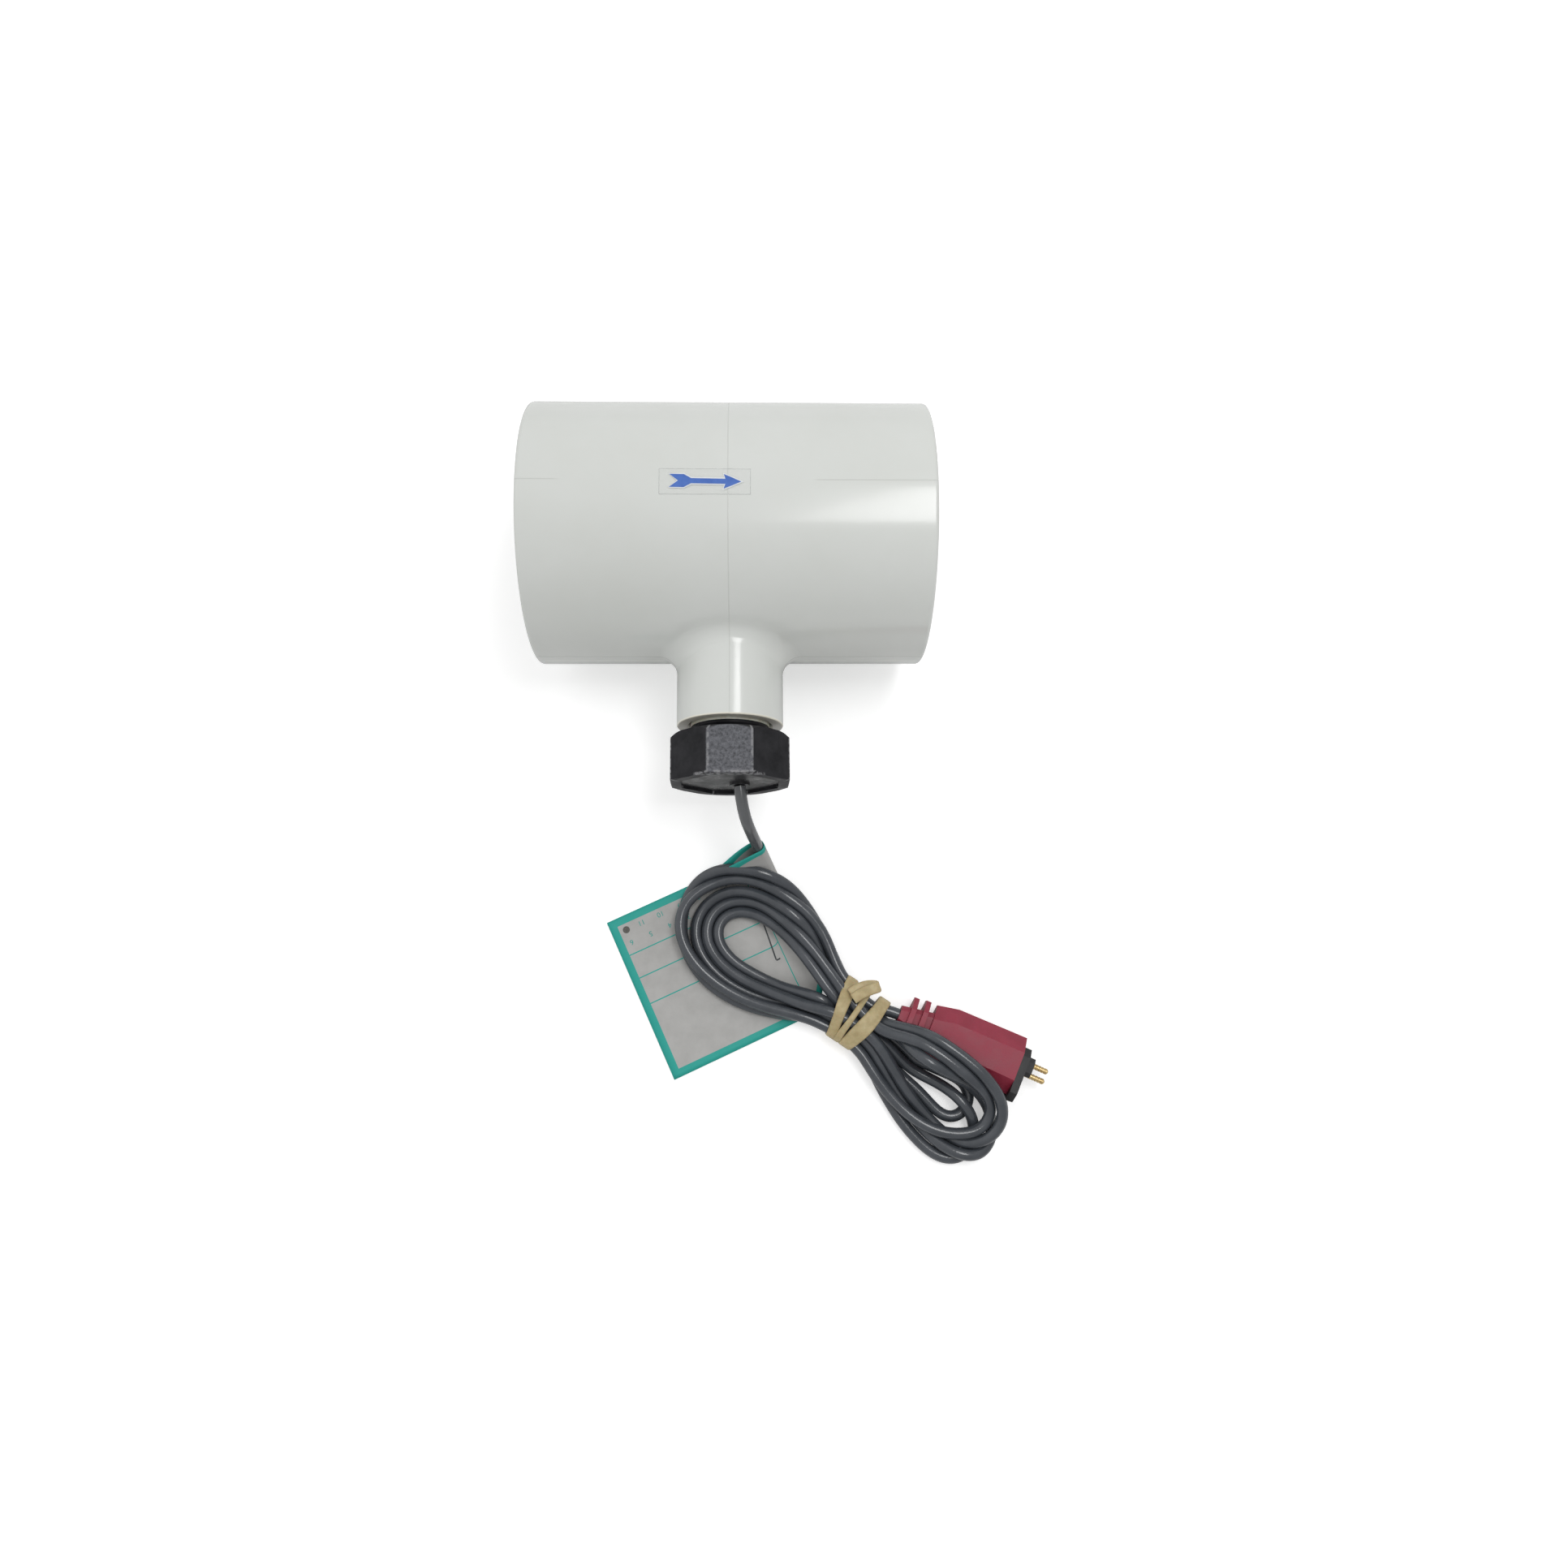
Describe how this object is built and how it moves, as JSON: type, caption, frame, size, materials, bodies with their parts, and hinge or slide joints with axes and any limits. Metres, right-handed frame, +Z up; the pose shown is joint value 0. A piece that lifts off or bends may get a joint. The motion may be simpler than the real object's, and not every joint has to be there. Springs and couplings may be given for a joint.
{
  "type": "paddle flow switch",
  "caption": "Flow switch in a pressure-pipe reducing tee: a hinged paddle in the bore moves a magnet past a sealed reed; corded, with a hanked lead and a pin plug.",
  "frame": {"origin": "on the surface that the part lies on, below the middle of the tee and switch (middle of the run's length, midway between the tee's back and the head's end)", "axes": "+X the direction of flow through the run, towards the outlet socket; -Y from the run along the branch to the switch's head; +Z up"},
  "size_m": [0.1401, 0.2024, 0.0701],
  "materials": {
    "pvc_white": "glossy injection-moulded PVC",
    "clear_film": "clear adhesive film with a printed arrow",
    "sealing_tape": "soft off-white sealing tape",
    "black_glass_filled": "satin glass-filled moulding",
    "black_resin": "cast resin",
    "reed_glass": "clear green-tinted glass",
    "plated_iron": "plated nickel-iron",
    "heat_shrink": "heat-shrunk sleeve",
    "core_insulation": "PVC core insulation",
    "paddle_plastic": "satin moulding",
    "ferrite": "sintered ferrite",
    "stainless": "drawn stainless steel",
    "cord_jacket": "dark grey PVC jacket",
    "band_rubber": "natural rubber",
    "label_paper": "coated synthetic paper with a teal border",
    "plug_crimson": "satin crimson overmould",
    "plug_black": "black contact carrier",
    "gold_plate": "gold flash over brass"
  },
  "bodies": {
    "root": {"tee_body": "pvc_white", "flow_arrow_label": "clear_film", "thread_tape": "sealing_tape", "switch_body": "black_glass_filled", "potting_compound": "black_resin", "reed_glass": "reed_glass", "reed_blade_inner": "plated_iron", "reed_blade_outer": "plated_iron", "lead_sleeve_near": "heat_shrink", "lead_sleeve_far": "heat_shrink", "core_wire_near": "core_insulation", "core_wire_far": "core_insulation", "pivot_pin": "stainless", "return_spring": "stainless", "cord_lead": "cord_jacket", "cord_hank": "cord_jacket", "cord_tail": "cord_jacket", "rubber_band": "band_rubber", "cord_label": "label_paper", "plug_body": "plug_crimson", "plug_insert": "plug_black", "contact_pin_upper": "gold_plate", "contact_pin_lower": "gold_plate"},
    "paddle_arm": {"paddle": "paddle_plastic", "magnet": "ferrite"}
  },
  "joints": [
    {"name": "paddle_swing", "type": "hinge", "parent": "root", "child": "paddle_arm", "pos_m": [0, -0.0066, 0.035], "axis": [0, 0, -1], "range_deg": [0, 28], "stiffness_Nm_per_rad": 0.004, "springref_deg": -14.9, "deforming": ["return_spring"]}
  ]
}
